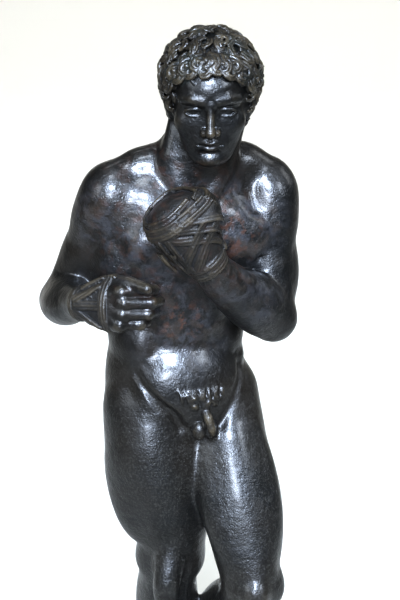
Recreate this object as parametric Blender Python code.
"""Bronze statuette of a standing boxer on a low plinth.

Metres, +Z up, the figure faces -Y. The origin is the middle of the plinth's underside.
The body is sculpted as one distance field of smooth-joined muscles, then skinned and thinned to facets.
"""
import bpy
import bmesh
import math
import numpy as np
from mathutils import Vector

# ---- named sizes ----
UNIT = 0.0015            # metres per body unit, where a grown man is about 170 units tall
PLINTH_W = 0.076         # across
PLINTH_D = 0.100         # front to back
PLINTH_H = 0.015
PLINTH_CORNER = 0.009
PLINTH_AT = (0.0, 0.0)
FEET_SHIFT = (0.0062, -0.0020)   # where the middle between the feet stands on the plinth
GAP = 0.0003             # between the soles and the plinth
GRID = 1.05              # body units between the points of the distance field
FACETS = 8600            # triangles left on the figure

BRONZE = (0.055, 0.045, 0.038, 1.0)
PLINTH_BRONZE = (0.070, 0.055, 0.042, 1.0)

for old in list(bpy.data.objects):
    bpy.data.objects.remove(old, do_unlink=True)



def V(*a):
    return np.array(a, float)

def unit(v):
    v = np.asarray(v, float)
    return v / max(1e-12, float(np.linalg.norm(v)))

def lerp(a, b, t):
    return a + (b - a) * t

FAR = 6.0

class Field:
    """Distance field on a regular grid; below zero is metal."""

    def __init__(self, lo, hi, h):
        self.lo = np.array(lo, float)
        self.h = float(h)
        self.n = np.ceil((np.array(hi, float) - self.lo) / h).astype(int) + 1
        self.a = np.full(tuple(self.n), FAR, np.float32)
        self.tag, self.tags = None, {}

    def window(self, lo, hi, pad):
        i0 = np.maximum(np.floor((np.asarray(lo) - pad - self.lo) / self.h).astype(int), 0)
        i1 = np.minimum(np.ceil((np.asarray(hi) + pad - self.lo) / self.h).astype(int) + 1, self.n)
        if (i1 <= i0).any():
            return None
        s = tuple(slice(int(a), int(b)) for a, b in zip(i0, i1))
        g = [(self.lo[k] + self.h * np.arange(i0[k], i1[k])).astype(np.float32) for k in range(3)]
        return s, g[0][:, None, None], g[1][None, :, None], g[2][None, None, :]

    def put(self, shape, k=1.0, carve=False, pad=None):
        """Adds a shape with a fillet of size k, or carves it away."""
        lo, hi = shape.bounds
        w = self.window(lo, hi, (k * 1.3 + 2.2 * self.h + 0.4) if pad is None else pad)
        if w is None:
            return self
        s, x, y, z = w
        d = shape(x, y, z)
        a = self.a[s]
        if carve:
            d = -d
            t = np.maximum(k - np.abs(a - d), 0) / max(k, 1e-6)
            self.a[s] = np.maximum(a, d) + t * t * (k * 0.25)
        else:
            t = np.maximum(k - np.abs(a - d), 0) / max(k, 1e-6)
            self.a[s] = np.minimum(a, d) - t * t * (k * 0.25)
            if self.tag:
                if self.tag not in self.tags:
                    self.tags[self.tag] = np.full(self.a.shape, FAR, np.float32)
                b = self.tags[self.tag]
                b[s] = np.minimum(b[s], d)
        return self

    def at(self, p, a=None):
        """Value at places p by linear interpolation."""
        a = self.a if a is None else a
        g = (np.asarray(p, float) - self.lo) / self.h
        n = self.n - 2
        i = np.clip(np.floor(g).astype(np.int64), 0, n)
        t = np.clip(g - i, 0, 1)
        out = 0
        for k in range(8):
            d = np.array([k & 1, k >> 1 & 1, k >> 2 & 1])
            w = np.prod(np.where(d, t, 1 - t), axis=1)
            out = out + w * a[i[:, 0] + d[0], i[:, 1] + d[1], i[:, 2] + d[2]]
        return out

    def holds(self, p, m=0.5):
        p = np.asarray(p, float)
        return bool(((p > self.lo + m) & (p < self.lo + (self.n - 1) * self.h - m)).all())

    def snap(self, p, n=8):
        """Moves places on to the surface when the grid holds them all."""
        p = np.array(p, float)
        if not self.holds(p):
            return p
        for _ in range(n):
            d = self.at(p)
            g = np.stack([self.at(p + e) - self.at(p - e) for e in np.eye(3) * self.h], 1) / (2 * self.h)
            p = p - g * np.clip(d / np.maximum((g * g).sum(1), 0.1), -1.2, 1.2)[:, None]
        return p


class Egg:
    """Ellipsoid with half sizes r along the three axes in frame (rows)."""

    def __init__(self, c, r, frame=None):
        self.c, self.r = np.array(c, float), np.array(r, float)
        self.m = np.eye(3) if frame is None else np.array(frame, float)
        e = np.sqrt(((self.m * self.r[:, None]) ** 2).sum(0))
        self.bounds = self.c - e, self.c + e

    def __call__(self, x, y, z):
        x, y, z = x - np.float32(self.c[0]), y - np.float32(self.c[1]), z - np.float32(self.c[2])
        k0 = k1 = 0
        for m, r in zip(self.m.astype(np.float32), self.r.astype(np.float32)):
            q = (x * m[0] + y * m[1] + z * m[2]) / r
            k0 = k0 + q * q
            k1 = k1 + (q / r) ** 2
        k0, k1 = np.sqrt(k0), np.sqrt(k1)
        return k0 * (k0 - 1) / np.maximum(k1, 1e-6)


class Rod:
    """Round rod through points with a radius at each; flat squeezes it along an axis."""

    def __init__(self, pts, rad, flat=None, squeeze=1.0):
        self.p = np.array(pts, float)
        self.r = np.broadcast_to(np.array(rad, float), (len(self.p),))
        self.flat = None if flat is None else unit(flat)
        self.q = squeeze
        e = self.r[:, None]
        self.bounds = (self.p - e).min(0), (self.p + e).max(0)

    def __call__(self, x, y, z):
        best = rad = None
        f = np.float32
        for i in range(len(self.p) - 1):
            a, b = self.p[i], self.p[i + 1]
            ra, rb = self.r[i], self.r[i + 1]
            ab = b - a
            L2 = max(float(ab @ ab), 1e-9)
            px, py, pz = x - f(a[0]), y - f(a[1]), z - f(a[2])
            t = np.clip((px * f(ab[0]) + py * f(ab[1]) + pz * f(ab[2])) * f(1 / L2), 0, 1)
            dx, dy, dz = px - t * f(ab[0]), py - t * f(ab[1]), pz - t * f(ab[2])
            if self.flat is not None:
                n = self.flat
                s = dx * f(n[0]) + dy * f(n[1]) + dz * f(n[2])
                g = s * f(1 / self.q - 1)
                d2 = (dx + g * f(n[0])) ** 2 + (dy + g * f(n[1])) ** 2 + (dz + g * f(n[2])) ** 2
                d = np.sqrt(d2)
            else:
                d = np.sqrt(dx * dx + dy * dy + dz * dz)
            r = f(ra) + t * f(rb - ra)
            if best is None:
                best, rad = d, r
            else:
                m = d < best
                best, rad = np.where(m, d, best), np.where(m, r, rad)
        return best - rad if self.flat is None else (best - rad) * f(min(1.0, self.q) ** 0.5)


class Slab:
    """Half space kept inside a box: used to cut flat."""

    def __init__(self, p, n, lo, hi):
        self.p, self.n = np.array(p, float), unit(n)
        self.bounds = np.array(lo, float), np.array(hi, float)

    def __call__(self, x, y, z):
        f = np.float32
        n = self.n
        return (x - f(self.p[0])) * f(n[0]) + (y - f(self.p[1])) * f(n[1]) + (z - f(self.p[2])) * f(n[2])


class Trunk:
    """Body of oval sections stacked along z: rows of (z, cx, cy, half width, half depth, yaw degrees)."""

    def __init__(self, rows, power=2.3):
        self.rows = np.array(rows, float)
        self.power = power
        z = self.rows[:, 0]
        m = self.rows[:, 3:5].max()
        c = self.rows[:, 1:3]
        self.bounds = V(c[:, 0].min() - m, c[:, 1].min() - m, z.min()), V(c[:, 0].max() + m, c[:, 1].max() + m, z.max())

    def smooth(self, z):
        k = self.rows
        zs = k[:, 0]
        i = np.clip(np.searchsorted(zs, z) - 1, 0, len(zs) - 2)
        t = np.clip((z - zs[i]) / (zs[i + 1] - zs[i]), 0, 1)
        out = []
        for c in range(1, 6):
            v = k[:, c]
            sl = np.gradient(v, zs)
            dz = zs[i + 1] - zs[i]
            h00 = 2 * t**3 - 3 * t**2 + 1
            h10 = t**3 - 2 * t**2 + t
            h01 = -2 * t**3 + 3 * t**2
            h11 = t**3 - t**2
            out.append(h00 * v[i] + h10 * dz * sl[i] + h01 * v[i + 1] + h11 * dz * sl[i + 1])
        return out

    def __call__(self, x, y, z):
        zz = z.ravel().astype(float)
        cx, cy, a, b, yaw = [v.astype(np.float32)[None, None, :] for v in self.smooth(zz)]
        th = np.radians(yaw)
        u = (x - cx) * np.cos(th) + (y - cy) * np.sin(th)
        v = -(x - cx) * np.sin(th) + (y - cy) * np.cos(th)
        p = self.power
        rho = ((np.abs(u) / a) ** p + (np.abs(v) / b) ** p) ** np.float32(1 / p)
        g = np.sqrt((u / a) ** 2 / a**2 + (v / b) ** 2 / b**2) / np.maximum(np.sqrt((u / a) ** 2 + (v / b) ** 2), 1e-6)
        d = (rho - 1) / np.maximum(g, 1e-6)
        top = z - np.float32(self.rows[-1, 0])
        low = np.float32(self.rows[0, 0]) - z
        return np.maximum(d, np.maximum(top, low))


def connected_table():
    """For each sign pattern of a cell's 8 corners: more than one lump of metal or of air?"""
    nb = [[c ^ 1, c ^ 2, c ^ 4] for c in range(8)]
    bad = np.zeros(256, bool)
    for m in range(256):
        for want in (0, 1):
            cs = [c for c in range(8) if (m >> c & 1) == want]
            if not cs:
                continue
            seen, todo = {cs[0]}, [cs[0]]
            while todo:
                for q in nb[todo.pop()]:
                    if q in cs and q not in seen:
                        seen.add(q)
                        todo.append(q)
            if len(seen) < len(cs):
                bad[m] = True
    return bad


def codes(s):
    c = np.zeros(tuple(np.array(s.shape) - 1), np.uint8)
    for k in range(8):
        i, j, l = k & 1, k >> 1 & 1, k >> 2 & 1
        c |= s[i : s.shape[0] - 1 + i, j : s.shape[1] - 1 + j, l : s.shape[2] - 1 + l].astype(np.uint8) << k
    return c


def skin(field):
    """Quad mesh on the zero level: one point in each crossed cell."""
    a = field.a
    bad = connected_table()
    s = a < 0
    c = codes(s)
    for _ in range(30):
        I, J, K = np.nonzero(bad[c])
        if not len(I):
            break
        for k in range(8):
            i, j, l = k & 1, k >> 1 & 1, k >> 2 & 1
            v = a[I + i, J + j, K + l]
            a[I + i, J + j, K + l] = np.where(v >= 0, np.float32(-1e-3), v)
        # refresh only round the changed cells
        lo = np.maximum(np.array([I.min(), J.min(), K.min()]) - 2, 0)
        hi = np.array([I.max(), J.max(), K.max()]) + 4
        s = a < 0
        c = codes(s)
    act = (c > 0) & (c < 255)
    I, J, K = np.nonzero(act)
    idx = np.full(act.shape, -1, np.int32)
    idx[I, J, K] = np.arange(len(I), dtype=np.int32)
    pos = np.zeros((len(I), 3), np.float64)
    cnt = np.zeros(len(I))
    corner = [a[I + (k & 1), J + (k >> 1 & 1), K + (k >> 2 & 1)].astype(np.float64) for k in range(8)]
    for k in range(8):
        for ax in range(3):
            q = k | (1 << ax)
            if q == k:
                continue
            v0, v1 = corner[k], corner[q]
            m = (v0 < 0) != (v1 < 0)
            t = np.where(m, v0 / np.where(m, v0 - v1, 1), 0)
            p = np.array([k & 1, k >> 1 & 1, k >> 2 & 1], float)[None, :].repeat(len(I), 0)
            p[:, ax] += t
            pos += p * m[:, None]
            cnt += m
    pos = pos / cnt[:, None] + np.stack([I, J, K], 1)
    verts = field.lo + field.h * pos
    faces = []
    for ax in range(3):
        b, d = (ax + 1) % 3, (ax + 2) % 3
        lo = [slice(None)] * 3
        hi = [slice(None)] * 3
        lo[ax], hi[ax] = slice(0, -1), slice(1, None)
        s0, s1 = s[tuple(lo)], s[tuple(hi)]
        E = np.stack(np.nonzero(s0 != s1), 1)
        # leave out edges on the border
        ok = (E[:, b] > 0) & (E[:, d] > 0) & (E[:, b] < a.shape[b] - 1) & (E[:, d] < a.shape[d] - 1)
        E = E[ok]
        sign = s0[E[:, 0], E[:, 1], E[:, 2]]
        def cell(db, dd):
            q = E.copy()
            q[:, b] += db
            q[:, d] += dd
            return idx[q[:, 0], q[:, 1], q[:, 2]]
        quad = np.stack([cell(-1, -1), cell(0, -1), cell(0, 0), cell(-1, 0)], 1)
        quad = np.where(sign[:, None], quad, quad[:, ::-1])
        faces.append(quad)
    return verts, np.concatenate(faces)


# ---- pose: joints of the figure in body units (about 1 cm of a grown man), soles at z = 0 ----
TORSO_YAW = 16.0
HIP_R, HIP_L = V(-11.8, -3.2, 86.6), V(4.4, 1.2, 85.2)
KNEE_R, KNEE_L = V(-6.6, -1.6, 48.6), V(11.1, -13.3, 47.1)
ANKLE_R, ANKLE_L = V(-9.0, -1.5, 8.2), V(1.0, 10.5, 17.5)
SHOULDER_R, SHOULDER_L = V(-18.6, -3.6, 132.6), V(14.5, 4.3, 130.8)
ELBOW_R, ELBOW_L = V(-30.2, 5.5, 106.2), V(16.2, -2.5, 104.9)
WRIST_R, WRIST_L = V(-23.4, -16.0, 113.0), V(1.4, -17.2, 122.6)
HEAD = V(1.9, -6.6, 154.3)
NECK = V(0.0, -2.0, 141.0)
HEAD_SIZE = 1.05
HEAD_BOW, HEAD_TURN = 10.0, 1.0


class Loft:
    """Oval sections along the third axis of a frame: rows of (t, half width, front reach, back reach, power)."""

    def __init__(self, origin, frame, size, rows):
        self.o, self.m, self.k = np.array(origin, float), np.array(frame, float), float(size)
        self.rows = np.array(rows, float)
        ts = self.rows[:, 0]
        c = []
        w = self.rows[:, 1].max()
        for t in (ts[0], ts[-1]):
            for x in (-w, w):
                for y in (self.rows[:, 2].max(), -self.rows[:, 3].max()):
                    c.append(self.o + self.k * (x * self.m[0] + y * self.m[1] + t * self.m[2]))
        self.bounds = np.min(c, 0), np.max(c, 0)

    def __call__(self, x, y, z):
        f = np.float32
        x, y, z = x - f(self.o[0]), y - f(self.o[1]), z - f(self.o[2])
        m = (self.m / self.k).astype(np.float32)
        u, v, t = (x * q[0] + y * q[1] + z * q[2] for q in m)
        r = self.rows
        ts = r[:, 0]
        tt = np.linspace(ts[0], ts[-1], 160)
        i = np.clip(np.searchsorted(ts, tt) - 1, 0, len(ts) - 2)
        w = (tt - ts[i]) / (ts[i + 1] - ts[i])
        cols = []
        for c in (1, 2, 3, 4):
            val = r[:, c]
            sl = np.gradient(val, ts)
            dz = ts[i + 1] - ts[i]
            cols.append((2 * w**3 - 3 * w**2 + 1) * val[i] + (w**3 - 2 * w**2 + w) * dz * sl[i] + (3 * w**2 - 2 * w**3) * val[i + 1] + (w**3 - w**2) * dz * sl[i + 1])
        shp = np.broadcast(u, v, t).shape
        tf = np.broadcast_to(t, shp).ravel()
        a, fr, bk, p = [np.interp(tf, tt, c).astype(np.float32).reshape(shp) for c in cols]
        cy = (fr - bk) * 0.5
        b = (fr + bk) * 0.5
        q = np.maximum(np.abs(u) / a, 1e-6)
        e = np.maximum(np.abs(v - cy) / b, 1e-6)
        rho = (q**p + e**p) ** (1 / p)
        n2 = np.sqrt(q * q + e * e)
        g = np.sqrt((q / a) ** 2 + (e / b) ** 2) / np.maximum(n2, 1e-6)
        d = (rho - 1) / np.maximum(g, 1e-6)
        d = np.maximum(d, np.maximum(t - f(ts[-1]), f(ts[0]) - t))
        return (d * f(self.k)).astype(np.float32)


def frame_from(fwd, side):
    f = unit(fwd)
    s = unit(side - f * float(np.dot(side, f)))
    return f, s, np.cross(f, s)


# spine: height above the hip line, centre x, y, z, yaw, forward lean
SPINE = np.array([
    (-10, -2.9, 0.8, 76.0, 17, 0),
    (0, -2.9, 0.2, 86.0, 17, 0),
    (13, -5.0, 0.6, 99.0, 17, 2),
    (26, -4.0, 0.9, 112.0, 16, 5),
    (38, -2.4, 0.5, 123.5, 15, 8),
    (48, -1.9, -0.4, 133.5, 15, 9),
    (56, -0.7, -2.6, 141.5, 10, 12),
    (64, 0.6, -5.6, 149.0, 6, 16),
])


def W(x, y, u, flip=1):
    """Point of the trunk: x to the figure's left, y back, u up from the hip line; flip -1 mirrors it."""
    r = [np.interp(u, SPINE[:, 0], SPINE[:, i]) for i in range(1, 6)]
    c = V(*r[:3])
    ps, la = math.radians(r[3]), math.radians(r[4])
    ex = V(math.cos(ps), math.sin(ps), 0)
    ey = V(-math.sin(ps) * math.cos(la), math.cos(ps) * math.cos(la), math.sin(la))
    return c + x * flip * ex + y * ey


def axes(u, flip=1, tilt=0.0, roll=0.0):
    """Rows: side, back, up of the trunk at u; tilt turns the up axis back, roll turns it outwards."""
    r = [np.interp(u, SPINE[:, 0], SPINE[:, i]) for i in (4, 5)]
    ps, la = math.radians(r[0]), math.radians(r[1] - tilt)
    ex = V(math.cos(ps), math.sin(ps), 0)
    ey = V(-math.sin(ps) * math.cos(la), math.cos(ps) * math.cos(la), math.sin(la))
    ez = np.cross(ex, ey)
    ro = math.radians(roll) * flip
    a = ex * math.cos(ro) - ez * math.sin(ro)
    b = ex * math.sin(ro) + ez * math.cos(ro)
    return np.array([a, ey, b])


def trunk(F):
    rows = []
    #        u,  half width, half depth, y shift
    for u, a, b, dy, dx in ((-9, 12.0, 8.5, 0.5, -1.0), (-4, 14.2, 9.8, 0.8, -1.1), (2, 14.6, 9.8, 0.8, -1.1), (8, 13.8, 9.2, 0.4, -1.4), (14, 13.4, 8.9, 0.2, -0.9), (21, 14.3, 9.4, 0.2, -0.5),
                        (29, 16.0, 10.5, 0.2, -0.6), (37, 16.2, 10.9, 0.4, 0), (43, 15.6, 9.9, 0.8, 0), (49, 12.0, 7.6, 1.2, 0), (55, 7.4, 6.0, 1.6, 0)):
        c = W(dx, dy, u)
        yaw = np.interp(u, SPINE[:, 0], SPINE[:, 4])
        rows.append((c[2], c[0], c[1], a, b, yaw))
    F.put(Trunk(rows, 2.25), 0.1, pad=5)
    for f in (-1, 1):
        # back: trapezius, shoulder blades, broad back muscle, long spine muscles
        F.put(limb([W(1.2, 2.2, 57, f), W(5.6, 2.2, 53.0, f), W(11.2, 2.0, 51.6, f), W(16.2, 1.2, 49.0, f)], [4.7, 4.3, 4.4, 3.8]), 3.0)
        F.put(Rod([W(2.0, 5.5, 54, f), W(3.6, 7.6, 44, f), W(1.6, 8.6, 31, f)], [3.2, 3.2, 1.6]), 2.2)
        F.put(Egg(W(9.6, 7.3, 41.5, f), (5.6, 3.0, 6.8), axes(41, f, 4, -14)), 1.4)
        F.put(Egg(W(13.2, 3.4, 40.0, f), (4.2, 5.0, 5.6), axes(40, f)), 2.0)
        F.put(Egg(W(12.6, 3.4, 31.0, f), (4.8, 5.6, 12.0), axes(30, f, 0, 12)), 2.4)
        F.put(limb([W(3.8, 6.2, 1, f), W(3.6, 5.8, 14, f), W(4.2, 6.4, 30, f)], [3.2, 3.6, 3.2]), 2.4)
        # chest
        F.put(Egg(W(7.4, -7.5, 38.0, f), (7.8, 3.3, 7.0), axes(38, f, -1, 16)), 1.4)
        F.put(Rod([W(5, -7.9, 38.5, f), W(11.5, -6.4, 39.8, f), W(16.0, -2.6, 42.4, f)], [3.0, 3.0, 3.0]), 2.2)
        F.put(Egg(W(4.8, -6.8, 44.0, f), (5.6, 2.8, 3.8), axes(43, f, 14, 0)), 1.8)
        # ribs and the saw muscle
        F.put(Egg(W(7.2, -5.4, 27.0, f), (6.6, 4.4, 6.6), axes(27, f, 0, -10)), 2.0)
        for i, (x, y, u) in enumerate(((13.3, -5.0, 32.0), (13.0, -5.8, 29.0), (12.4, -6.2, 26.1))):
            F.put(Egg(W(x, y, u, f), (1.5, 2.6, 1.15), axes(u, f, 30, 0)), 0.8)
        # flank over the hip bone
        F.put(Egg(W(9.4, -0.2, 14.6, f), (4.6, 7.6, 6.2), axes(13, f, -6, 10)), 3.0)
        F.put(Rod([W(12.0, 2.4, 10.2, f), W(11.2, -3.8, 9.6, f), W(8.2, -7.2, 6.6, f)], [2.0, 1.9, 1.5]), 2.2)
        # straight muscle of the belly in rows
        for u, r in ((28.2, 2.7), (23.4, 2.6), (18.9, 2.2)):
            F.put(Egg(W(3.2, -7.8, u, f), (3.3, 1.8, r), axes(u, f)), 2.2)
    for f in (-1, 1):
        # seat
        F.put(Egg(W(7.0, 4.4, -2.4, f), (7.4, 7.4, 9.6), axes(0, f, 12, 8)), 2.2)
        F.put(Egg(W(10.6 - 1.6 * f, 1.5, 3.0 - f, f), (4.4, 6.4, 8.0), axes(0, f, 0, 6)), 2.2)
    # lower belly
    F.put(Egg(W(0, -5.4, 5.6), (9.4, 5.4, 7.4), axes(6, 1, 10)), 2.2)
    F.put(Egg(W(-1.0, -6.6, 5.4), (11.0, 5.6, 10.2), axes(6, 1, 6)), 2.2)
    F.put(Egg(W(0, -5.4, 18.5), (7.6, 4.1, 12.5), axes(18)), 1.6)
    # breast bone hollow, belly line, navel, spine hollow
    F.put(Rod([W(0, -12.6, 30.5), W(0, -12.6, 36), W(0, -11.3, 44)], [1.3, 0.9, 0.9]), 1.2, True)
    F.put(Rod([W(0, -11.8, 30), W(0, -11.2, 22), W(0, -11.0, 15.5)], [0.9, 0.7, 0.7]), 0.9, True)
    F.put(limb([W(0, 12.2, 44), W(0, 12.0, 30), W(0, 10.9, 18), W(0, 11.2, 6)], [1.6, 1.7, 1.8, 1.5]), 2.2, True)
    F.put(limb([W(-5.6, -10.1, 16.4), W(-2.6, -10.9, 15.8), W(1.6, -10.9, 15.6), W(5.0, -10.1, 16.2)], [0.25, 0.6, 0.6, 0.25], 4), 0.8, True)
    F.put(Egg(W(1.4, -10.9, 14.4), (0.6, 0.9, 0.7), axes(14)), 0.6, True)
    for f in (-1, 1):
        # lower edge of the breast, arch of the ribs, groin
        F.put(Rod([W(1.4, -12.6, 32.6, f), W(5.5, -12.9, 31.0, f), W(10.5, -11.6, 31.4, f), W(14.6, -8.0, 34.6, f)], [0.7, 0.75, 0.75, 0.7]), 1.0, True)
        F.put(Rod([W(1.2, -11.8, 30.2, f), W(5.4, -11.6, 25.0, f), W(9.2, -10.4, 19.0, f)], [0.5, 0.7, 0.4]), 1.2, True)
        F.put(Rod([W(12.6, -8.6, 9.4, f), W(9.4, -10.6, 4.0, f), W(5.2, -11.2, -1.2, f), W(3.0, -10.8, -5.5, f)], np.array([0.15, 0.4, 0.7, 0.6]) * (1 if f < 0 else 0.4)), 1.4, True)


def limb(pts, rad, n=7):
    """Rod whose line and radius run smoothly through the given stations."""
    p = np.array([list(a) + [r] for a, r in zip(pts, rad)], float)
    t = np.concatenate([[0], np.cumsum(np.linalg.norm(np.diff(p[:, :3], axis=0), axis=1))])
    g = np.gradient(p, t, axis=0)
    out = []
    for i in range(len(p) - 1):
        d = t[i + 1] - t[i]
        for j in range(n):
            w = j / n
            out.append((2 * w**3 - 3 * w**2 + 1) * p[i] + (w**3 - 2 * w**2 + w) * d * g[i] + (3 * w**2 - 2 * w**3) * p[i + 1] + (w**3 - w**2) * d * g[i + 1])
    out.append(p[-1])
    out = np.array(out)
    out[:, 3] = np.maximum(out[:, 3], 0.2)
    return Rod(out[:, :3], out[:, 3])


def limb_frame(a, b, front):
    """Axis from a to b and the direction of the front side square to it."""
    ax = unit(b - a)
    fr = unit(front - ax * float(np.dot(front, ax)))
    return ax, fr, np.cross(ax, fr)


def arm(F, S, E, Wr, flip, body_out, tri=1.8):
    # front of the upper arm faces the way the forearm folds
    ax, fr, sd = limb_frame(S, E, Wr - E)
    L = float(np.linalg.norm(E - S))
    out = unit(body_out - ax * float(np.dot(body_out, ax)))
    up = S + ax * 0
    F.put(limb([S - ax * 0.5, S + ax * L * 0.5, E], [4.7, 4.4, 3.8]), 2.0)
    # deltoid
    m = np.array([out, np.cross(ax, out), ax])
    F.put(Egg(S + ax * 3.2 + out * 0.9, (5.0, 5.9, 9.0), m), 3.0)
    F.put(Egg(S - ax * 0.2 - out * 0.6, (5.0, 5.6, 5.0), m), 3.6)
    # biceps and triceps
    m = np.array([fr, sd, ax])
    F.put(Egg(S + ax * L * 0.56 + fr * 1.9, (3.5, 3.5, 8.2), m), 1.1)
    F.put(Egg(S + ax * L * (0.32 + tri * 0.1) - fr * tri, (3.7, 4.0, 9.4), m), 1.3)
    F.put(Rod([E - ax * 5.5 - fr * 2.2, E - fr * 1.6 + ax * 0.8], [2.3, 2.2]), 1.2)
    # forearm
    bx = unit(Wr - E)
    M = float(np.linalg.norm(Wr - E))
    fr2 = unit(-ax - bx * float(np.dot(-ax, bx)))
    sd2 = np.cross(bx, fr2)
    F.put(limb([E, E + bx * M * 0.35, E + bx * M * 0.72, Wr], [4.2, 4.6, 3.6, 2.9]), 1.8)
    m = np.array([fr2, sd2, bx])
    F.put(Egg(E + bx * M * 0.27 + fr2 * 1.7, (4.1, 4.2, 9.0), m), 1.3)
    F.put(Egg(E + bx * M * 0.30 - fr2 * 1.5 + sd2 * 0.6, (3.9, 4.3, 9.4), m), 1.3)
    F.put(Egg(E - fr2 * 1.7 - bx * 1.3, (2.2, 2.4, 2.4), m), 1.4)


def leg(F, H, K, A, front, medial, r, calf, inner=1.0, adduct=0.46, calf_at=0.30, bow=(0, 0, 0), outer=1.0, knee_in=0.0, cap=(5.3, -0.8, 2.3, 3.5), low=0.0, plate=False, ramp=False, top=-1.0):
    """One leg: r are thigh radii at top, middle, above the knee; front is where the kneecap faces."""
    ax = unit(K - H)
    L = float(np.linalg.norm(K - H))
    fr = unit(front - ax * float(np.dot(front, ax)))
    md = unit(medial - ax * float(np.dot(medial, ax)) - fr * float(np.dot(medial, fr)))
    bow = np.array(bow, float)
    F.put(limb([H + ax * top, H + ax * L * 0.30 + bow * 0.6, H + ax * L * 0.62 + bow, H + ax * L * 0.86 + bow * 0.5 + md * low, K], [r[0], r[1], r[1] * 0.92, r[2] * 1.04, r[2] * 0.92]), 2.4)
    m = np.array([fr, md, ax])
    H0, H = H, H + bow
    # straight thigh muscle, outer and inner heads, hamstrings, adductors
    F.put(Egg(H + ax * L * 0.42 + fr * (r[1] * 0.42), (r[1] * 0.60, r[1] * 0.58, 15.5), m), 1.6)
    F.put(Egg(H + ax * L * (0.50 if ramp else 0.56) - md * (r[1] * 0.56) + fr * 1.2, (r[1] * 0.60, r[1] * 0.50, 13.5 if ramp else 15.0), m), 2.6 if ramp else 1.8)
    F.put(Egg(H + ax * L * 0.79 + md * (r[2] * 0.60 * inner) + fr * (0.5 if ramp else 1.6), (3.8, 3.4, 7.4), m), 1.9)
    F.put(Egg(H + ax * L * 0.72 - md * (r[2] * 0.50 - low) + fr * (0.6 if ramp else 1.7), (3.2, 2.8, 8.2), m), 2.2)
    if plate:
        F.put(Egg(H + ax * L * 0.52 + fr * 3.7 + md * 0.2, (4.9, 8.6, 18.0), m), 2.4)
    F.put(Egg(H + ax * L * 0.50 - fr * (r[1] * 0.42), (r[1] * 0.60, r[1] * 0.74, 15.0), m), 1.8)
    F.put(Egg(H + ax * L * 0.40 + md * (r[1] * adduct), (r[1] * 0.62, r[1] * 0.52, 15.0), m), 1.8)
    H = H0
    # knee
    bx = unit(A - K)
    M = float(np.linalg.norm(A - K))
    fb = unit(front - bx * float(np.dot(front, bx)))
    fk = unit(fr + fb)
    kx = unit(ax + bx)
    kd = unit(md - kx * float(np.dot(md, kx)))
    mk = np.array([fk, kd, kx])
    F.put(Egg(K + kd * (3.2 * inner + knee_in) + kx * 0.2, (4.8, 4.2, 5.2), mk), 1.8)
    F.put(Egg(K - kd * 2.6 * outer, (4.8, 3.8, 5.0), mk), 1.8)
    F.put(Egg(K + fk * cap[0] + kx * cap[1], (cap[2], 3.1, cap[3]), mk), 1.2)
    if ramp:
        F.put(limb([K + fk * 5.4 - kx * 9.5 + kd * 0.9, K + fk * 7.1 - kx * 2.5 + kd * 0.3, K + fk * 8.3 + kx * 3.5 - kd * 0.6, K + fk * 6.2 + kx * 11.0 - kd * 0.9], [2.0, 2.7, 2.9, 1.9]), 1.8)
    F.put(Egg(K + fb * 4.9 + bx * 4.8, (1.7, 1.8, 3.2), np.array([fb, md, bx])), 1.2)
    # lower leg
    mb = unit(md - bx * float(np.dot(md, bx)) - fb * float(np.dot(md, fb)))
    m = np.array([fb, mb, bx])
    F.put(limb([K, K + bx * M * 0.3, K + bx * M * 0.62, A - bx * 1.5], [5.6, calf * 0.88, 4.2, 3.2]), 1.8)
    F.put(Egg(K + bx * M * calf_at - fb * 2.8 + mb * 2.3, (4.3, 4.0, 10.6), m), 2.2)
    F.put(Egg(K + bx * M * 0.27 - fb * 2.3 - mb * 2.3 * outer, (4.1, 3.8, 10.0), m), 2.2)
    F.put(Egg(K + bx * M * 0.33 + fb * 0.6 - mb * 2.4, (3.0, 2.4, 9.5), m), 1.4)
    F.put(Rod([K + bx * 5 + fb * 4.3 + mb * 0.6, K + bx * M * 0.5 + fb * 3.6 + mb * 0.8, A - bx * 6 + fb * 1.8 + mb * 0.4], [1.9, 1.6, 1.4]), 1.6)
    F.put(Rod([K + bx * M * 0.6 - fb * 2.4, A - fb * 3.0 + bx * 1.0], [2.0, 1.35]), 1.6)
    return ax, bx, fb, mb


def foot_flat(F, A, toe, medial):
    """Foot flat on the ground; toe is the way it points."""
    t = unit(V(toe[0], toe[1], 0))
    md = unit(medial - t * float(np.dot(medial, t)) - V(0, 0, medial[2]))
    up = V(0, 0, 1)
    g = V(A[0], A[1], 0)
    m = np.array([t, md, up])
    for s in (-1, 1):
        F.put(Egg(A + md * s * 2.3 - up * 0.2 + t * (0.3 * s), (1.8, 1.5, 2.0), m), 1.2)
    F.put(Rod([A - up * 0.5, g - t * 2.2 + up * 3.4], [3.1, 3.3]), 1.6)
    F.put(Egg(g - t * 4.0 + up * 2.7, (3.6, 3.0, 3.1), m), 1.0)
    F.put(Rod([A + t * 1.6 - up * 1.8, g + t * 9.0 + md * 0.6 + up * 3.2, g + t * 14.0 + md * 1.2 + up * 1.9], [3.2, 2.5, 1.7]), 1.4)
    F.put(Rod([g - t * 2 - md * 1.0 + up * 2.0, g + t * 6 - md * 2.0 + up * 1.7, g + t * 12.0 - md * 2.4 + up * 1.5], [2.3, 2.2, 1.7]), 1.4)
    F.put(Egg(g + t * 12.6 + md * 2.4 + up * 1.9, (3.2, 2.0, 1.8), m), 1.2)
    toes = ((2.9, 17.4, 1.25), (1.0, 17.6, 0.92), (-0.7, 16.9, 0.86), (-2.2, 15.9, 0.82), (-3.5, 14.6, 0.80))
    for y, x, r in toes:
        b = g + t * (x - 4.6) + md * y * 0.9 + up * 1.9
        F.put(Rod([b, g + t * (x - 1.6) + md * y + up * (r + 0.55), g + t * x + md * y + up * (r + 0.05)], [r * 1.05, r * 0.88, r]), 0.45)


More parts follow.
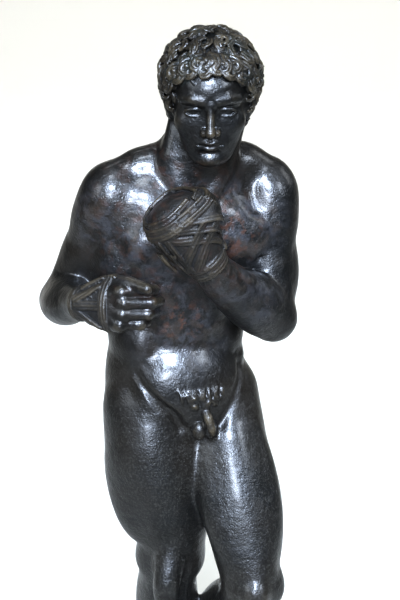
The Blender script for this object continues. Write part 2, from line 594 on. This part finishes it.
def foot_tiptoe(F, A, ball, toe, medial):
    """Foot on its ball with the heel up."""
    t = unit(V(toe[0], toe[1], 0))
    up = V(0, 0, 1)
    md = unit(medial - t * float(np.dot(medial, t)) - V(0, 0, medial[2]))
    s = unit(ball - A)
    bk = unit(np.cross(s, md))
    if np.dot(bk, t) > 0:
        bk = -bk
    m = np.array([s, md, bk])
    for q in (-1, 1):
        F.put(Egg(A + md * q * 2.2, (1.8, 1.5, 1.8), m), 1.2)
    heel = A + bk * 4.2 + s * 2.2
    F.put(Rod([A, heel], [3.1, 2.9]), 1.6)
    F.put(Egg(heel, (3.0, 2.8, 3.0), m), 1.0)
    F.put(Rod([A - bk * 1.2 + s * 2.0, A + s * 9.0 - bk * 0.4, ball + up * 0.4], [3.0, 2.7, 2.5]), 1.4)
    F.put(Rod([heel + s * 2.0, ball - md * 1.8 + bk * 0.6], [2.4, 2.1]), 1.5)
    for q in (-1.8, 0.2, 2.0):
        F.put(Egg(ball + md * q + V(0, 0, -0.4), (2.2, 1.7, 2.2), np.array([t, md, up])), 1.0)
    toes = ((2.6, 6.0, 1.2), (0.9, 6.2, 0.9), (-0.7, 5.7, 0.85), (-2.1, 5.0, 0.82), (-3.3, 4.1, 0.8))
    g = V(ball[0], ball[1], 0)
    for y, x, r in toes:
        F.put(Rod([g + md * y * 0.9 + up * 2.4, g + t * (x - 2.2) + md * y + up * (r + 0.6), g + t * x + md * y + up * (r + 0.05)], [r * 1.1, r * 0.9, r]), 0.5)


def hand(F, O, fwd, thumb, curls, spread=1.0, thumb_pts=None, size=1.0, strap=1.1):
    """Hand at wrist O: fwd along the palm, thumb the way the thumb side faces; curls are joint bends in degrees."""
    f, s, d = frame_from(fwd, thumb)  # d = f x s
    if d[1] > 0:
        d = -d
    def P(x, y, z):
        return O + size * (x * f + y * s + z * d)
    m = np.array([f, s, d])
    k = size
    F.put(Rod([P(-1, 0, 0), P(1.5, 0, 0)], [2.5 * k, 2.6 * k], d, 0.86), 1.6)
    F.put(Egg(P(5.0, 0.1, -0.1), (5.4 * k, 4.3 * k, 2.1 * k), m), 1.4)
    F.put(Rod([P(2.0, -2.0, -0.4), P(8.4, -2.9, -0.3)], [1.9 * k, 1.7 * k]), 1.2)
    F.put(Rod([P(2.0, 1.8, -0.4), P(8.6, 2.7, -0.2)], [2.0 * k, 1.8 * k]), 1.2)
    fingers = ((3.1, 9.1, 4.6, 2.7, 2.2, 1.08), (1.05, 9.6, 5.0, 3.1, 2.3, 1.1), (-1.05, 9.3, 4.7, 2.9, 2.2, 1.05), (-3.0, 8.6, 3.8, 2.3, 2.0, 0.95))
    ends = []
    for i, (y, x, a, b, c, r) in enumerate(fingers):
        p = P(x, y * spread, 0.25)
        ang = 0.0
        pts = [p]
        for seg, bend in zip((a, b, c), curls):
            ang += math.radians(bend)
            p = p + size * seg * (f * math.cos(ang) - d * math.sin(ang))
            pts.append(p)
        F.put(Egg(pts[0] - f * 0.2 * k, (1.5 * k, 1.25 * k, 1.35 * k), m), 0.7)
        F.put(Rod(pts, [r * 1.08 * k, r * 1.04 * k, r * 0.95 * k, r * 0.86 * k]), 0.35)
        F.put(Egg(pts[1], (1.22 * k,) * 3, m), 0.3)
        ends.append(pts)
    tp = [P(*q) for q in (thumb_pts or ((1.8, 2.6, -1.0), (5.0, 4.6, -1.6), (8.4, 4.9, -2.2), (11.0, 4.3, -2.6)))]
    F.put(Rod(tp, [1.7 * k, 1.55 * k, 1.25 * k, 1.05 * k]), 0.8)
    return P, f, s, d, ends


TAU = 2 * math.pi


def last_inside(d, gap=8):
    """Row of the last sample inside the shape, before the first gap of so many samples."""
    out = np.zeros(d.shape[1], int)
    for j in range(d.shape[1]):
        run = 0
        for i in range(d.shape[0]):
            if d[i, j] < 0:
                out[j], run = i, 0
            else:
                run += 1
                if run >= gap and (out[j] or i > 2 * gap):
                    break
    return out


def straps(F, P, size, cross, rings, fine=True, r=0.34):
    """Leather thongs round a hand: each ring or crossing is a double cord laid on the hand's oval section."""
    def surf(x, a, lift=0.0):
        w = np.interp(x, (-6, -2, 0, 3, 6, 9, 11), (3.3, 2.9, 3.1, 4.3, 4.9, 5.1, 5.1)) + lift
        t = np.interp(x, (-6, -2, 0, 3, 6, 9, 11), (3.0, 2.6, 2.4, 2.5, 2.5, 2.2, 2.2)) + lift
        return P(x, w * math.cos(a), t * math.sin(a) - 0.15)
    if not fine:
        for x0, x1, a0, a1 in rings[:2]:
            F.put(Rod([surf(lerp(x0, x1, 0.5), a0 + (a1 - a0) * i / 14, -0.3) for i in range(15)], 0.75 * size), 0.5)
        return
    bands = [(a, b, c, d, 30) for a, b, c, d in rings] + [(x0, x1, a0, a1, 14) for x0, a0, x1, a1 in cross]
    laid = []
    for x0, x1, a0, a1, n in bands:
        line = np.array([surf(lerp(x0, x1, i / n), lerp(a0, a1, i / n), 1.0) for i in range(n + 1)])
        mid = np.array([P(lerp(x0, x1, i / n), 0, 0) for i in range(n + 1)])
        out = line - mid
        out /= np.linalg.norm(out, axis=1)[:, None]
        if F.holds(line):
            reach = np.linspace(1.2, 7.5, 64) * size
            d = np.array([F.at(mid + out * t) for t in reach])
            rho = reach[last_inside(d)]
            soft = np.convolve(np.pad(rho, 2, "edge"), np.ones(5) / 5, "valid")
            line = mid + out * np.maximum(soft, rho - 0.12)[:, None]
        laid.append((line, out))
    F.tag = "strap"
    for line, out in laid:
        side = np.cross(np.gradient(line, axis=0), out)
        side /= np.linalg.norm(side, axis=1)[:, None]
        for off in (-1, 0, 1):
            F.put(Rod(line + side * off * r * 1.75 * size + out * (0.16 if off == 0 else 0.02), r * size), 0.12)
    F.tag = None


def head_axes():
    b, t = math.radians(HEAD_BOW), math.radians(HEAD_TURN)
    f = V(math.sin(t) * math.cos(b), -math.cos(t) * math.cos(b), -math.sin(b))
    s = V(math.cos(t), math.sin(t), 0)
    u = np.cross(s, -f)
    return f, s, u


def head(F, fine=True):
    f, s, u = head_axes()
    k = HEAD_SIZE
    def P(x, y, z):
        return HEAD + k * (x * s + y * f + z * u)
    m = np.array([s, f, u])
    def egg(x, y, z, a, b, c, kk=1.0, carve=False, mm=None):
        F.put(Egg(P(x, y, z), (a * k, b * k, c * k), m if mm is None else mm), kk, carve)
    def rod(pts, r, kk=1.0, carve=False):
        F.put(Rod([P(*p) for p in pts], np.array(r) * k), kk, carve)
    # neck
    F.put(limb([W(0, 1.5, 47), W(0, 0.8, 54), P(0, -2.6, -5.0)], [7.4, 6.7, 6.1]), 2.6)
    for q in (-1, 1):
        F.put(limb([P(q * 6.2, -2.6, -4.6), W(4.9 * q, -3.6, 52.5), W(1.5 * q, -7.2, 47)], [1.6, 1.9, 1.3]), 1.8)
    # skull and face as sections from chin to crown
    rows = ((-11.3, 2.6, 8.0, -4.6, 2.0), (-10.4, 3.7, 8.9, -3.0, 2.1), (-8.6, 4.9, 9.0, -0.5, 2.2), (-6.4, 5.8, 9.0, 1.4, 2.3), (-4.0, 6.35, 8.9, 3.6, 2.35),
            (-1.5, 6.7, 8.7, 6.5, 2.35), (1.2, 7.0, 8.9, 9.2, 2.35), (4.0, 7.2, 9.3, 10.4, 2.35), (6.6, 6.8, 8.2, 9.8, 2.2), (8.8, 5.6, 5.8, 8.2, 2.1), (10.4, 3.6, 3.0, 5.6, 2.0), (11.2, 0.8, 0.4, 2.4, 2.0))
    F.put(Loft(HEAD, m, k, rows), 0.9, pad=2.5)
    for q in (-1, 1):
        rod([(q * 1.4, 8.75, 2.5), (q * 3.4, 8.45, 2.9), (q * 5.4, 6.6, 2.2)], [0.8, 0.85, 0.7], 1.2)      # brow
        egg(q * 3.2, 9.9, 0.15, 2.15, 1.85, 1.35, 1.0, True)                                             # eye hollow
        egg(q * 4.3, 6.0, -2.6, 2.2, 1.9, 1.9, 2.4)                                                      # cheek bone
    for q in (-1, 1):
        egg(q * 3.1, 6.85, 0.15, 1.45, 1.35, 1.35, 0.12)                                                 # eyeball
        up = [(q * (3.15 - 1.72 * math.cos(a)), 7.72 + 0.62 * math.sin(a) - 0.16 * math.cos(math.pi - a), 0.02 + 0.92 * math.sin(a)) for a in np.linspace(0.02, math.pi * 0.98, 9)]
        rod(up, [0.22, 0.28, 0.32, 0.34, 0.34, 0.34, 0.32, 0.28, 0.22], 0.14)
        lo = [(q * (3.15 - 1.65 * math.cos(a)), 7.68 + 0.45 * math.sin(a) - 0.16 * math.cos(math.pi - a), 0.0 - 0.66 * math.sin(a)) for a in np.linspace(0.02, math.pi * 0.98, 9)]
        rod(lo, [0.18, 0.22, 0.24, 0.25, 0.25, 0.25, 0.24, 0.22, 0.18], 0.14)
    # nose
    rod([(0, 8.7, 2.0), (0, 9.6, -0.6), (0, 10.75, -3.1)], [0.80, 0.78, 0.92], 0.9)
    for q in (-1, 1):
        egg(q * 1.15, 9.55, -3.45, 0.80, 1.05, 0.78, 0.5)
        if fine:
            rod([(q * 0.62, 10.3, -4.45), (q * 0.68, 9.7, -4.3)], [0.26, 0.22], 0.2, True)
    # mouth and chin
    egg(0, 7.9, -6.0, 3.0, 1.5, 2.2, 1.4)
    rod([(-2.15, 8.55, -6.1), (-0.8, 9.42, -5.55), (0, 9.45, -5.8), (0.8, 9.42, -5.55), (2.15, 8.55, -6.1)], [0.28, 0.46, 0.44, 0.46, 0.28], 0.35)
    rod([(-1.9, 8.55, -6.5), (-0.65, 9.25, -6.95), (0.65, 9.25, -6.95), (1.9, 8.55, -6.5)], [0.28, 0.56, 0.56, 0.28], 0.35)
    rod([(-2.3, 8.95, -6.2), (-0.9, 9.85, -6.22), (0, 9.95, -6.3), (0.9, 9.85, -6.22), (2.3, 8.95, -6.2)], [0.17] * 5, 0.25, True)
    rod([(0, 9.75, -4.6), (0, 9.65, -5.1)], [0.26, 0.2], 0.4, True)
    rod([(-1.3, 9.4, -8.1), (1.3, 9.4, -8.1)], [0.6, 0.6], 0.9, True)
    egg(0, 7.6, -9.6, 2.2, 1.8, 1.5, 1.0)
    # ears
    for q in (-1, 1):
        egg(q * 7.4, -0.6, -2.2, 1.1, 1.7, 2.5, 0.5)
        ring = [(q * (8.2 - 0.5 * math.sin(a) * -1), -0.9 + 1.4 * math.cos(a), -2.0 + 2.2 * math.sin(a)) for a in np.linspace(-0.5, math.pi * 1.3, 12)]
        rod(ring, [0.38] * 12, 0.2)
        egg(q * 8.9, -0.5, -2.0, 0.7, 0.8, 1.3, 0.3, True)
        egg(q * 7.3, 0.0, -4.2, 0.6, 0.7, 0.8, 0.4)
    return P, m


HAIR_MID = V(0.15, -1.8, 2.9)
HAIR_SIZE = V(9.5, 9.7, 9.4)
BROW_MID, BROW_SIZE = V(0, -0.8, 2.9), V(8.7, 9.7, 9.4)


def on_shell(q, mid, size, lift):
    """Puts head place q on an egg, lift above it."""
    e = (q - mid) / size
    r = float(np.linalg.norm(e))
    return mid + (q - mid) / r * (1 + lift / float(size.mean()))


def lock(F, P, base, along, out, length, turn, strands, r, lift, shell, wave=False):
    """A comma-shaped or wavy lock of strands that lie side by side and meet at the tip."""
    side = np.cross(out, along)
    n = 8
    for q in range(strands):
        w = q - (strands - 1) / 2
        off = w * r * 2.15
        pts, rad = [], []
        x = y = 0.0
        reach = length * (1 - 0.10 * abs(w))
        for i in range(n + 1):
            t = i / n
            a = turn * (math.sin(TAU * 0.85 * t + 0.4) * 0.9 if wave else 2.3 * t * t - 0.35)
            p = base + along * (x - off * math.sin(a)) + side * (y + off * math.cos(a) * (1 - 0.70 * t * t))
            up = lift * math.sin(min(1.0, t * 1.15) * 2.3) - 0.12 * abs(w)
            pts.append(P(*on_shell(p, *shell, up)))
            rad.append(r * (1.0 - 0.40 * t * t) * HEAD_SIZE)
            x += math.cos(a) * reach / n
            y += math.sin(a) * reach / n
        F.put(Rod(pts, rad), 0.06)


def hairline(x):
    """Height of the hair's edge over the brow at x, in head units."""
    return 9.3 - 0.115 * x * x


def hair(F, P, m, fine=True):
    """A cap of short wavy locks that spread from the crown."""
    k = HEAD_SIZE
    if fine:
        F.tag = "hair"
    F.put(Egg(P(*HAIR_MID), HAIR_SIZE * k * (0.935 if fine else 1.0), m), 0.4)
    rng = np.random.default_rng(7)
    tilt = math.radians(24)
    pole, fore = V(0, -math.sin(tilt), math.cos(tilt)), V(0, math.cos(tilt), math.sin(tilt))
    rows = 13 if fine else 7
    for i in range(rows):
        th = lerp(0.10, 2.25, i / (rows - 1)) + (0.0 if fine else 0.1)
        n = max(5, int(round((30 if fine else 17) * math.sin(th))))
        for j in range(n):
            ph = TAU * (j + 0.5 * (i % 2)) / n + (rng.normal() * 0.05 if fine else 0)
            tt = th + (rng.normal() * 0.04 if fine else 0)
            d = pole * math.cos(tt) + (fore * math.cos(ph) + V(1, 0, 0) * math.sin(ph)) * math.sin(tt)
            p = HAIR_MID + d * HAIR_SIZE * (0.99 if fine else 0.96)
            if (p[1] > 3.4 and p[2] < hairline(p[0]) + 0.6) or (p[2] < -0.6 and p[1] > 0.2) or p[2] < -4.6:
                continue
            if not fine:
                F.put(Egg(P(*p), (1.5 * k, 1.5 * k, 1.5 * k), m), 0.3)
                continue
            out = unit(d / HAIR_SIZE)
            down = pole * -math.sin(tt) + (fore * math.cos(ph) + V(1, 0, 0) * math.sin(ph)) * math.cos(tt)
            down = unit(down - out * float(np.dot(down, out)))
            sway = math.radians(rng.normal() * 26)
            along = down * math.cos(sway) + np.cross(out, down) * math.sin(sway)
            turn = (1 if rng.random() < 0.5 else -1) * (0.9 + 0.5 * rng.random())
            lock(F, P, p - along * 0.6, along, out, 3.3 + 1.0 * rng.random(), turn * 1.15, 2 + int(rng.random() < 0.5), 0.31, 0.10 + 0.75 * rng.random(), (HAIR_MID, HAIR_SIZE), rng.random() < 0.55)
    # behind the ears and down the nape
    mid, size = V(0, -2.4, -0.6), V(8.5, 8.4, 9.4)
    F.put(Egg(P(*mid), size * k * 0.97, m), 0.8)
    if fine:
        for i, z in enumerate((-2.6, -3.9, -5.2, -6.4)):
            n = 22
            for j in range(n):
                ph = lerp(1.42, TAU - 1.42, (j + 0.5 * (i % 2)) / n) + rng.normal() * 0.04
                p = on_shell(V(8 * math.sin(ph), -2.4 + 8 * math.cos(ph), z + rng.normal() * 0.2), mid, size, 0)
                if p[1] > -0.4 - 0.5 * i:
                    continue
                out = unit((p - mid) / size**2)
                down = unit(V(0, 0, -1) + out * float(out[2]))
                lock(F, P, p + V(0, 0, 0.8), down, out, 2.6 + 0.6 * rng.random(), (1 if rng.random() < 0.5 else -1) * (0.9 + 0.5 * rng.random()), 3, 0.26, 0.35 + 0.3 * rng.random(), (mid, size), rng.random() < 0.5)
    F.tag = None


def fringe(F, P, m, fine=True):
    """Two rows of larger curls combed on to the brow and temples."""
    k = HEAD_SIZE
    if not fine:
        for i in range(8):
            x = -6.6 + 13.2 * i / 7
            F.put(Egg(P(*on_shell(V(x, 8.0, hairline(x) + 1.2), BROW_MID, BROW_SIZE, -0.3)), (1.3 * k, 1.2 * k, 1.5 * k), m), 0.3)
        return
    F.tag = "hair"
    rng = np.random.default_rng(3)
    for row, n, w in ((2, 6, 5.4), (1, 7, 6.2), (0, 8, 7.3)):
        for i in range(n):
            x = w * (2 * i / (n - 1) - 1) + rng.normal() * 0.16
            z = hairline(x) + (2.6, 4.0, 5.4)[row] + rng.normal() * 0.25
            q = on_shell(V(x, 8.0 - 0.07 * x * x, z), BROW_MID, BROW_SIZE, 0)
            out = unit((q - BROW_MID) / BROW_SIZE**2)
            down = unit(V(x * 0.07, 0.0, -1.0))
            down = unit(down - out * float(np.dot(down, out)))
            turn = (1 if (x < -0.4) ^ (row == 1) else -1) * (1.3 + 0.4 * rng.random())
            lock(F, P, q, down, out, 4.0 + 0.6 * rng.random(), turn * 1.25, 3, 0.40, (0.85, 1.0, 0.75)[row] + 0.2 * rng.random(), (BROW_MID, BROW_SIZE))
    F.tag = None


def build(h, fine=True, lo=(-44, -36, -1.5), hi=(31, 34, 174)):
    F = Field(lo, hi, h)
    trunk(F)
    fwd = V(math.sin(math.radians(17)), -math.cos(math.radians(17)), 0)
    # legs
    leg(F, HIP_R, KNEE_R, ANKLE_R, V(-0.05, -1, 0.05), V(1, 0.1, 0), (8.0, 10.5, 7.3), 6.6, 0.75, 0.50, 0.30, (0.5, -0.7, 0), 1.5, 1.0, (5.8, -0.4, 2.7, 4.5), 0.9, ramp=True, top=2.0)
    leg(F, HIP_L, KNEE_L, ANKLE_L, V(0.22, -1, 0.05), V(-1, -0.1, 0), (8.4, 8.5, 6.5), 6.2, 0.45, 0.40, 0.44, (0, 0, 0), 1.3, plate=True)
    foot_flat(F, ANKLE_R, V(-0.22, -1, 0), V(1, 0, 0))
    foot_tiptoe(F, ANKLE_L, V(3.6, 4.4, 3.0), V(0.25, -1, 0), V(-1, 0, 0))
    F.put(limb([V(6.6, -6.0, 78), V(9.2, -9.8, 67), V(11.3, -12.8, 58), V(12.2, -15.0, 51.5)], [4.2, 4.7, 4.4, 3.9]), 2.0)
    # top of the right thigh, groin lines
    F.put(Egg(HIP_R + V(0.6, -3.5, -9.5), (7.0, 6.6, 13.0)), 2.4)
    F.put(Egg(HIP_R + V(-2.5, 0.4, -4.0), (6.4, 6.6, 10.0)), 2.4)
    for f, deep in ((-1, 0.8), (1, 0.12)):
        line = F.snap([W(x, y, u, f) for x, y, u in ((13.4, -8.6, 9.6), (11.2, -9.8, 6.4), (8.8, -10.6, 3.2), (6.2, -11.0, 0.0), (4.2, -11.0, -3.2))])
        F.put(limb(list(line), [0.02, 0.06 * deep, 0.35 * deep, 0.75 * deep, 0.6 * deep], 4), 1.8, True)
    # broad muscle of the right flank, close to the arm
    F.put(Egg(W(-15.0, 1.0, 33.0), (4.0, 5.6, 9.5), axes(32)), 2.6)
    F.put(Egg(W(-14.6, 0.5, 25.5), (3.6, 5.4, 9.0), axes(26)), 2.6)
    F.put(Egg(W(-15.2, -3.2, 31.5), (3.6, 3.4, 8.0), axes(33)), 3.4)
    F.put(Egg(V(-11.6, -6.0, 130.6), (5.8, 4.3, 6.0)), 2.6)
    # arms
    ax = unit(ELBOW_R - SHOULDER_R)
    F.put(Egg(SHOULDER_R + ax * 17.5 + V(3.4, -1.6, 0.6), (4.4, 4.4, 9.0), np.array([unit(np.cross(V(0, 1, 0), ax)), np.cross(ax, unit(np.cross(V(0, 1, 0), ax))), ax])), 3.4)
    arm(F, SHOULDER_R, ELBOW_R, WRIST_R, -1, V(-1, -0.2, 0.3))
    arm(F, SHOULDER_L, ELBOW_L, WRIST_L, 1, V(1, 0.1, 0.3), 2.7)
    # underside of the raised forearm
    low = V(-0.73, -0.11, -0.70)
    F.put(limb([lerp(WRIST_L, ELBOW_L, q) + low * o for q, o in ((0.06, 0.9), (0.3, 1.6), (0.55, 2.2), (0.8, 2.1), (0.98, 1.5))], [3.3, 3.9, 4.2, 4.3, 4.1]), 1.5)
    P, m = head(F, fine)
    hair(F, P, m, fine)
    fringe(F, P, m, fine)
    # hands
    k = 1.10
    PR, f, s, d, ends = hand(F, WRIST_R, V(0.78, -0.60, 0.12), V(0.1, 0.15, 1), (50, 50, 34), 1.0, ((1.8, 2.6, -0.6), (5.0, 4.2, -1.0), (9.2, 4.7, -1.2), (13.6, 3.9, -1.4)), k)
    straps(F, PR, k, [(-0.6, 1.3, 4.6, 0.45), (-0.6, 1.9, 4.9, 2.75), (0.2, 0.4, 4.4, 0.0), (-0.4, 1.6, 4.6, 1.5)],
           [(5.6, 6.2, 0.0, TAU), (-1.3, -0.8, 0.0, TAU)], fine)
    k = 1.24
    PL, f, s, d, ends = hand(F, WRIST_L, V(-8.1, -3.5, 11.0), V(0.70, -0.12, 0.70), (80, 96, 70), 1.02, ((1.8, 2.6, -1.2), (4.8, 4.0, -2.8), (7.2, 2.6, -4.2), (8.6, 0.2, -4.6)), k)
    # padded wrap under the thongs
    F.put(Egg(V(0.6, -19.6, 133.6), (3.7, 3.6, 4.6)), 2.4)
    F.put(limb([PL(0.5, 0, 0), PL(4.5, 0.1, 0), PL(8.2, 0.1, -0.2)], [2.45 * k, 3.1 * k, 3.3 * k]), 2.0)
    F.put(Egg(PL(6.6, 0.1, -0.7), (5.4 * k, 4.9 * k, 3.1 * k), np.array([f, s, d])), 1.6)
    F.put(Egg(PL(9.6, 0.2, -1.6), (2.8 * k, 4.7 * k, 2.9 * k), np.array([f, s, d])), 2.4)
    straps(F, PL, k, [(0.8, 2.75, 8.9, 2.35), (0.8, 2.25, 8.4, 2.0), (2.4, 0.2, 8.2, 1.8), (3.9, 0.1, 9.0, 1.4), (5.6, 0.1, 9.4, 1.0), (1.0, 1.9, 6.4, 0.4), (1.6, 2.5, 7.6, 0.8)],
           [(-0.9, -0.5, 0.0, TAU), (0.2, 0.7, 0.0, TAU), (9.4, 8.8, 0.2, TAU + 0.2), (10.4, 10.0, 0.2, TAU + 0.2), (11.3, 11.1, 0.2, TAU + 0.2)], fine, 0.30)
    # privates and hair above them
    F.put(Egg(W(0.4, -9.2, 0.6), (3.6, 2.2, 3.4), axes(0)), 1.4)
    F.put(Egg(W(-0.6, -11.2, -3.6), (1.6, 1.7, 2.2), axes(0)), 0.3)
    F.put(Egg(W(2.0, -11.0, -3.8), (1.5, 1.7, 2.2), axes(0)), 0.3)
    F.put(Rod([W(0.7, -11.0, 1.4), W(0.9, -13.0, -0.2), W(1.5, -13.6, -2.6), W(1.8, -13.2, -3.9)], [1.05, 1.0, 0.95, 0.6]), 0.2)
    if fine:
        rng = np.random.default_rng(5)
        for row, n, u0, reach in ((1, 8, 3.6, 1.8), (0, 10, 6.2, 2.9)):
            for i in range(n):
                x = 0.5 + (i - (n - 1) / 2) * (0.98 if row == 0 else 0.85)
                bend = 0.35 * math.sin(2.1 * i + row)
                line = [W(x + bend * t * (1 - t) * 3 - 0.10 * (x - 0.5) * t * (1 + row), -10.8 + 0.05 * x * x, u0 - reach * t) for t in (0, 0.3, 0.6, 0.85, 1.0)]
                line = F.snap(line)
                out = W(0, -1, 4) - W(0, 0, 4)
                F.put(Rod(line + out * np.array([[0.0], [0.38], [0.46], [0.36], [0.1]]), [0.26, 0.38, 0.40, 0.36, 0.24]), 0.08)
    # flat soles
    F.put(Slab((0, 0, 0.0), (0, 0, 1), (-44, -36, -3), (31, 34, 1.5)), 0.01, True, pad=1.0)
    return F


# ---- objects ----
def material(name, color, metallic, roughness):
    m = bpy.data.materials.new(name)
    m.use_nodes = True
    b = m.node_tree.nodes["Principled BSDF"]
    b.inputs["Base Color"].default_value = color
    b.inputs["Metallic"].default_value = metallic
    b.inputs["Roughness"].default_value = roughness
    m.diffuse_color = color
    return m


def add_object(name, mesh, mat):
    ob = bpy.data.objects.new(name, mesh)
    bpy.context.scene.collection.objects.link(ob)
    mesh.materials.append(mat)
    return ob


def keep_largest(bm):
    """Drops stray specks so that one closed body is left."""
    bm.verts.ensure_lookup_table()
    seen = [False] * len(bm.verts)
    best = []
    for v in bm.verts:
        if seen[v.index]:
            continue
        seen[v.index] = True
        todo, part = [v], []
        while todo:
            q = todo.pop()
            part.append(q)
            for e in q.link_edges:
                o = e.other_vert(q)
                if not seen[o.index]:
                    seen[o.index] = True
                    todo.append(o)
        if len(part) > len(best):
            best = part
    keep = set(best)
    bmesh.ops.delete(bm, geom=[v for v in bm.verts if v not in keep], context="VERTS")


def thin_out(mesh, facets):
    """Collapses edges to the wanted number of triangles."""
    ob = bpy.data.objects.new("work", mesh)
    bpy.context.scene.collection.objects.link(ob)
    tri = ob.modifiers.new("tri", "TRIANGULATE")
    tri.quad_method = "FIXED"
    bpy.context.view_layer.update()
    dg = bpy.context.evaluated_depsgraph_get()
    n = len(ob.evaluated_get(dg).data.polygons)
    dec = ob.modifiers.new("thin", "DECIMATE")
    dec.ratio = facets / n
    bpy.context.view_layer.update()
    dg = bpy.context.evaluated_depsgraph_get()
    out = bpy.data.meshes.new_from_object(ob.evaluated_get(dg))
    bpy.data.objects.remove(ob, do_unlink=True)
    return out


def mend(bm, floor):
    """Small facets folded over a neighbour are relaxed until none is left."""
    from mathutils.bvhtree import BVHTree
    for _ in range(12):
        bm.faces.ensure_lookup_table()
        tree = BVHTree.FromBMesh(bm, epsilon=0.0)
        bad = set()
        for i, j in tree.overlap(tree):
            if i < j:
                a, b = bm.faces[i], bm.faces[j]
                if not set(a.verts) & set(b.verts):
                    bad.update(a.verts)
                    bad.update(b.verts)
        for e in bm.edges:
            if len(e.link_faces) == 2 and e.link_faces[0].normal.dot(e.link_faces[1].normal) < -0.75:
                bad.update(e.verts)
                for f in e.link_faces:
                    bad.update(f.verts)
        if not bad:
            return 0
        new = {}
        for v in bad:
            c = Vector((0, 0, 0))
            for e in v.link_edges:
                c += e.other_vert(v).co
            p = v.co.lerp(c / len(v.link_edges), 0.6)
            if v.co.z <= floor + 1e-5:
                p.z = v.co.z
            new[v] = p
        for v, p in new.items():
            v.co = p
        bm.normal_update()
    return len(bad)


def figure():
    field = build(GRID, False, lo=(-40, -30, -2.1), hi=(26, 24, 174))
    verts, quads = skin(field)
    mesh = bpy.data.meshes.new("figure_fine")
    mesh.from_pydata([tuple(v) for v in verts.tolist()], [], quads.tolist())
    bm = bmesh.new()
    bm.from_mesh(mesh)
    keep_largest(bm)
    bmesh.ops.recalc_face_normals(bm, faces=bm.faces)
    bm.to_mesh(mesh)
    bm.free()
    mesh = thin_out(mesh, FACETS)
    bm = bmesh.new()
    bm.from_mesh(mesh)
    bmesh.ops.triangulate(bm, faces=bm.faces)
    # soles flat and level
    low = min(v.co.z for v in bm.verts)
    for v in bm.verts:
        if v.co.z < 0.25:
            v.co.z = 0.0
    bm.normal_update()
    left = mend(bm, 0.0)
    for v in bm.verts:
        x, y, z = v.co
        v.co = (x * UNIT + FEET_SHIFT[0], y * UNIT + FEET_SHIFT[1], z * UNIT + PLINTH_H + GAP)
    bmesh.ops.recalc_face_normals(bm, faces=bm.faces)
    if bm.calc_volume(signed=True) < 0:
        bmesh.ops.reverse_faces(bm, faces=bm.faces)
    bm.to_mesh(mesh)
    bm.free()
    mesh.name = "figure"
    print("figure facets", len(mesh.polygons), "crossings left", left)
    return add_object("figure", mesh, material("dark_bronze", BRONZE, 0.9, 0.32))


def plinth():
    """Rounded slab with a small foot moulding and a chamfered top edge."""
    # inset from the widest outline, height
    profile = [(0.0008, 0.0), (0.0, 0.0008), (0.0, 0.0034), (0.0006, 0.0040), (0.0020, 0.0046), (0.0026, 0.0054),
               (0.0026, 0.0116), (0.0020, 0.0124), (0.0012, 0.0130), (0.0012, 0.0142), (0.0020, PLINTH_H)]
    seg = 7
    bm = bmesh.new()
    loops = []
    for inset, z in profile:
        w, d, r = PLINTH_W / 2 - inset, PLINTH_D / 2 - inset, PLINTH_CORNER - inset
        loop = []
        for q in range(4):
            cx = (w - r) * (1, -1, -1, 1)[q]
            cy = (d - r) * (1, 1, -1, -1)[q]
            for i in range(seg + 1):
                a = math.pi / 2 * (q + i / seg)
                loop.append(bm.verts.new((cx + r * math.cos(a), cy + r * math.sin(a), z)))
        loops.append(loop)
    n = len(loops[0])
    for lo, hi in zip(loops, loops[1:]):
        for i in range(n):
            j = (i + 1) % n
            bm.faces.new((lo[i], lo[j], hi[j], hi[i]))
    bm.faces.new(list(reversed(loops[0])))
    bm.faces.new(loops[-1])
    bmesh.ops.recalc_face_normals(bm, faces=bm.faces)
    mesh = bpy.data.meshes.new("base")
    bm.to_mesh(mesh)
    bm.free()
    return add_object("base", mesh, material("plinth_bronze", PLINTH_BRONZE, 0.9, 0.40))


figure()
plinth()
